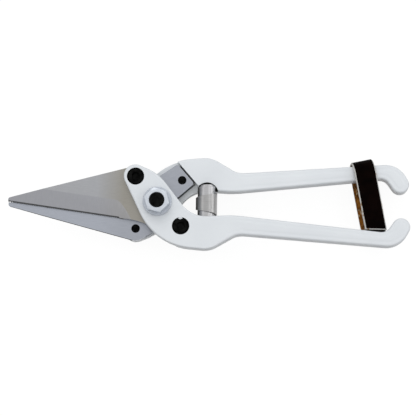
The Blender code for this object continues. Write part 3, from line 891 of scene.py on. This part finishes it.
def make_pivot():
    """Pivot bolt, its nut and the two washers."""
    lift = Matrix.Translation((0, 0, MEETING_Z))
    bolt = chamfered_hexagon(HEX_FLATS, BOLT_FOOT, -NUT_FACE, 0.0)
    root = (BOLT_FOOT - NUT_FACE) / 2
    carve(bolt, turned([(0, root), (BOLT_RADIUS, root), (BOLT_RADIUS, BOLT_END - BOLT_CHAMFER),
                        (BOLT_RADIUS - BOLT_CHAMFER / 2, BOLT_END), (BOLT_DIMPLE, BOLT_END),
                        (0, BOLT_END - BOLT_DIMPLE / 2)]), 'UNION')
    bolt.data.transform(lift)
    dress(bolt, "pivot_bolt", "rear_half", [black])

    nut = chamfered_hexagon(NUT_FLATS, NUT_FACE, NUT_BACK, NUT_TURN)
    bore = BOLT_RADIUS + FIT_GAP
    carve(nut, turned([(0, 0), (bore, 0), (bore, NUT_BACK - NUT_FLARE),
                       (bore + 2 * NUT_FLARE, NUT_BACK + NUT_FLARE), (0, NUT_BACK + NUT_FLARE)]))
    nut.data.transform(lift)
    dress(nut, "pivot_nut", "rear_half", [nut_zinc])

    for node, turn in (("nut_washer", 0.0), ("bolt_washer", pi)):
        shape = turned([(bore, WASHER_FACE), (WASHER_RADIUS, WASHER_FACE), (WASHER_RADIUS, WASHER_BACK),
                        (bore, WASHER_BACK)], closed=True)
        ease(shape, WASHER_ROUND, segments=3)
        washer = solid("washer", shape)
        washer.data.transform(lift @ Matrix.Rotation(turn, 4, 'X'))
        dress(washer, node, "rear_half", [washer_zinc])


# Spring

def strip_edge(angle, radius):
    """How far the strip's edges are from the coil's middle.

    They spread turn by turn until the dish stops them.
    """
    seat = DISH_OFFSET + sqrt(DISH_RADIUS ** 2 - (radius + STRIP_THICK / 2 + SEAT_GAP) ** 2) - SEAT_GAP
    return min(OUTER_HALF + TURN_SPREAD * angle / tau, seat)


def make_spring():
    """Volute of one strip, drawn out edge by edge from its narrow outer end inwards and then thickened."""
    shape = bmesh.new()
    facing = shape.verts.layers.float.new("facing")
    turn = shape.verts.layers.float.new("turn")
    low = shape.verts.new()
    high = shape.verts.new((0, MM, 0))
    edge = shape.edges.new((low, high))
    count = ceil(COIL_TURNS * ROUND_SIDES)
    for step in range(count + 1):
        if step:
            drawn = bmesh.ops.extrude_edge_only(shape, edges=[edge])["geom"]
            low, high = sorted(only(bmesh.types.BMVert, drawn), key=lambda vert: vert.co.y)
            edge = only(bmesh.types.BMEdge, drawn)[0]
        angle = COIL_TURNS * tau * step / count
        radius = COIL_RADIUS - COIL_SHRINK * angle / tau
        x = SPRING_X - radius * cos(angle)
        z = MEETING_Z + radius * sin(angle)
        reach = strip_edge(angle, radius)
        low.co = (x, -reach, z)
        high.co = (x, reach, z)
        low[facing] = high[facing] = cos(angle)
        low[turn] = high[turn] = angle / tau
    bmesh.ops.recalc_face_normals(shape, faces=shape.faces)
    spring = solid("spring", shape)
    wall = spring.modifiers.new("wall", 'SOLIDIFY')
    wall.thickness = STRIP_THICK
    wall.offset = 0.0
    wall.use_even_offset = True
    rounding = spring.modifiers.new("rounding", 'BEVEL')
    rounding.width = STRIP_THICK / 4
    rounding.segments = 2
    rounding.limit_method = 'ANGLE'
    rounding.angle_limit = radians(60)
    settle(spring)
    dress(spring, "volute_spring", None, [nickel])
    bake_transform(spring)


# Leather loop

def strap_route():
    """Middle of the strap, as distances down its sides and out from them.

    It goes up the front side, round the grip, down the back side, round the end and under the front side.
    """
    radius = LOOP_OUTER - LEATHER_THICK / 2
    end = LOOP_REACH - LEATHER_THICK / 2
    corner = LOOP_CORNER - LEATHER_THICK / 2
    inner_corner = corner - LEATHER_THICK / 2
    inner = radius - LEATHER_THICK - FACE_GAP
    route = []
    for step in range(STRAP_SIDE_STEPS):
        route.append(((LOOP_REACH - LAP_LIP) * (1 - step / STRAP_SIDE_STEPS), radius))
    for step in range(STRAP_ARC_STEPS + 1):
        angle = pi / 2 + pi * step / STRAP_ARC_STEPS
        route.append((radius * cos(angle), radius * sin(angle)))
    for step in range(1, STRAP_SIDE_STEPS):
        route.append(((end - corner) * step / STRAP_SIDE_STEPS, -radius))
    for angle in quarter(STRAP_CORNER_STEPS):
        route.append((end - corner + corner * sin(angle), corner - radius - corner * cos(angle)))
    for angle in quarter(STRAP_CORNER_STEPS):
        route.append((end - inner_corner + inner_corner * cos(angle),
                      inner - inner_corner + inner_corner * sin(angle)))
    for step in range(1, STRAP_LAP_STEPS + 1):
        route.append((end - inner_corner - LAP_LENGTH * step / STRAP_LAP_STEPS, inner))
    return route


def chamfer_strap(loop):
    """Chamfer the strap's grain side along its cut edges."""
    rims = []
    with reshaped(loop) as shape:
        for edge in shape.edges:
            if {face.material_index for face in edge.link_faces} == {LOOP_GRAIN, LOOP_CUT}:
                rims.append(edge)
        for face in bevel(shape, rims, LEATHER_CHAMFER, segments=1):
            face.material_index = LOOP_CUT


def make_loop():
    """Strap with a dark grain side, a tan inner side and pale cut edges, lapped at its free end."""
    shape = bmesh.new()
    verts = [shape.verts.new((down, rise, -LOOP_WIDTH / 2)) for down, rise in strap_route()]
    edges = [shape.edges.new(pair) for pair in zip(verts, verts[1:])]
    for step in range(STRAP_ACROSS_STEPS):
        drawn = bmesh.ops.extrude_edge_only(shape, edges=edges)["geom"]
        moved = only(bmesh.types.BMVert, drawn)
        bmesh.ops.translate(shape, verts=moved, vec=(0, 0, LOOP_WIDTH / STRAP_ACROSS_STEPS))
        edges = [edge for edge in only(bmesh.types.BMEdge, drawn) if set(edge.verts) <= set(moved)]
    sides = Vector((sin(LOOP_LEAN), -cos(LOOP_LEAN), 0))
    for vert in shape.verts:
        down, rise, across = vert.co
        angle = LOOP_LEAN * (1 - down / LOOP_REACH)
        broad = Vector((cos(angle), sin(angle), 0))
        level = rise * cos(LOOP_TURN) + across * sin(LOOP_TURN)
        shift = (rise - LOOP_PIN) * sin(LOOP_TURN) - across * cos(LOOP_TURN)
        vert.co = LOOP_MIDDLE + down * sides + shift * broad + Vector((0, 0, level))
    bmesh.ops.recalc_face_normals(shape, faces=shape.faces)
    if max(shape.faces, key=lambda face: face.calc_center_median().z).normal.z < 0:
        bmesh.ops.reverse_faces(shape, faces=shape.faces)
    loop = solid("loop", shape)
    for finish in (grain, suede, cut_edge):
        loop.data.materials.append(finish)
    wall = loop.modifiers.new("wall", 'SOLIDIFY')
    wall.thickness = LEATHER_THICK
    wall.offset = 0.0
    wall.use_even_offset = True
    wall.material_offset = LOOP_SUEDE
    wall.material_offset_rim = LOOP_CUT
    settle(loop)
    chamfer_strap(loop)
    dress(loop, "leather_loop", "loop", [grain, suede, cut_edge])


make_handles()
make_blades()
make_screws()
make_pivot()
make_spring()
make_loop()


# Floor, light and camera

def make_floor():
    """Grey floor under the bolt head; its glow makes it white to the camera, and it keeps the shadow."""
    shape = bmesh.new()
    bmesh.ops.create_grid(shape, x_segments=1, y_segments=1, size=FLOOR_HALF,
                          matrix=Matrix.Translation((0, 0, cad_low.z - FACE_GAP)))
    floor = solid("floor", shape)
    made = bpy.data.materials.new("floor_white")
    made.use_nodes = True
    tree = made.node_tree
    tree.nodes.clear()
    path = tree.nodes.new("ShaderNodeLightPath").outputs
    seen = reckon(tree, 'MAXIMUM', path["Is Camera Ray"], path["Is Glossy Ray"])
    seen = reckon(tree, 'MAXIMUM', seen, path["Is Transmission Ray"])
    glow = add_node(tree, "ShaderNodeEmission", {"Strength": reckon(tree, 'MULTIPLY', seen, FLOOR_GLOW)})
    matt = add_node(tree, "ShaderNodeBsdfDiffuse", {"Color": FLOOR_COLOUR})
    both = add_node(tree, "ShaderNodeAddShader", {0: glow.outputs[0], 1: matt.outputs[0]})
    add_node(tree, "ShaderNodeOutputMaterial", {"Surface": both.outputs[0]})
    floor.data.materials.append(made)


def make_world():
    """Soft studio light: bright overhead and from behind, dim from the front."""
    world = bpy.data.worlds.new("studio")
    bpy.context.scene.world = world
    world.use_nodes = True
    tree = world.node_tree
    place = tree.nodes.new("ShaderNodeTexCoord").outputs["Generated"]
    way = add_node(tree, "ShaderNodeSeparateXYZ", {"Vector": place}).outputs
    level = reckon(tree, 'MULTIPLY_ADD', way["Z"], SKY_RISE, SKY_LEVEL)
    level = reckon(tree, 'MULTIPLY_ADD', way["Y"], SKY_BACK, level)
    level = reckon(tree, 'MAXIMUM', level, SKY_LEAST)
    backdrop = tree.nodes["Background"]
    backdrop.inputs["Color"].default_value = (1.0, 1.0, 1.0, 1.0)
    tree.links.new(level, backdrop.inputs["Strength"])


def make_lamp(name, place, size, power):
    """Square soft lamp that faces the pivot."""
    lamp = bpy.data.lights.new(name, 'AREA')
    lamp.size = size
    lamp.energy = power
    holder = place_object(name, lamp)
    holder.location = place
    holder.rotation_euler = (-Vector(place)).to_track_quat('-Z', 'Y').to_euler()


def make_camera():
    """Camera nearly straight above the meeting plane, tipped to the front grip's side and a little to +X."""
    camera = bpy.data.cameras.new("camera")
    camera.sensor_width = SENSOR_WIDTH
    camera.lens = SENSOR_WIDTH * CAMERA_DISTANCE / (PIXEL_SIZE * IMAGE_PIXELS)
    holder = place_object("camera", camera)
    turn = Matrix.Rotation(CAMERA_YAW, 4, 'Y') @ Matrix.Rotation(CAMERA_TILT, 4, 'X')
    turn = turn @ Matrix.Rotation(CAMERA_ROLL, 4, 'Z')
    holder.matrix_world = Matrix.Translation(AIM) @ turn @ Matrix.Translation((0, 0, CAMERA_DISTANCE))
    bpy.context.scene.camera = holder


make_floor()
make_world()
for lamp_settings in LAMPS:
    make_lamp(*lamp_settings)
make_camera()
bpy.context.scene.view_settings.view_transform = 'Standard'
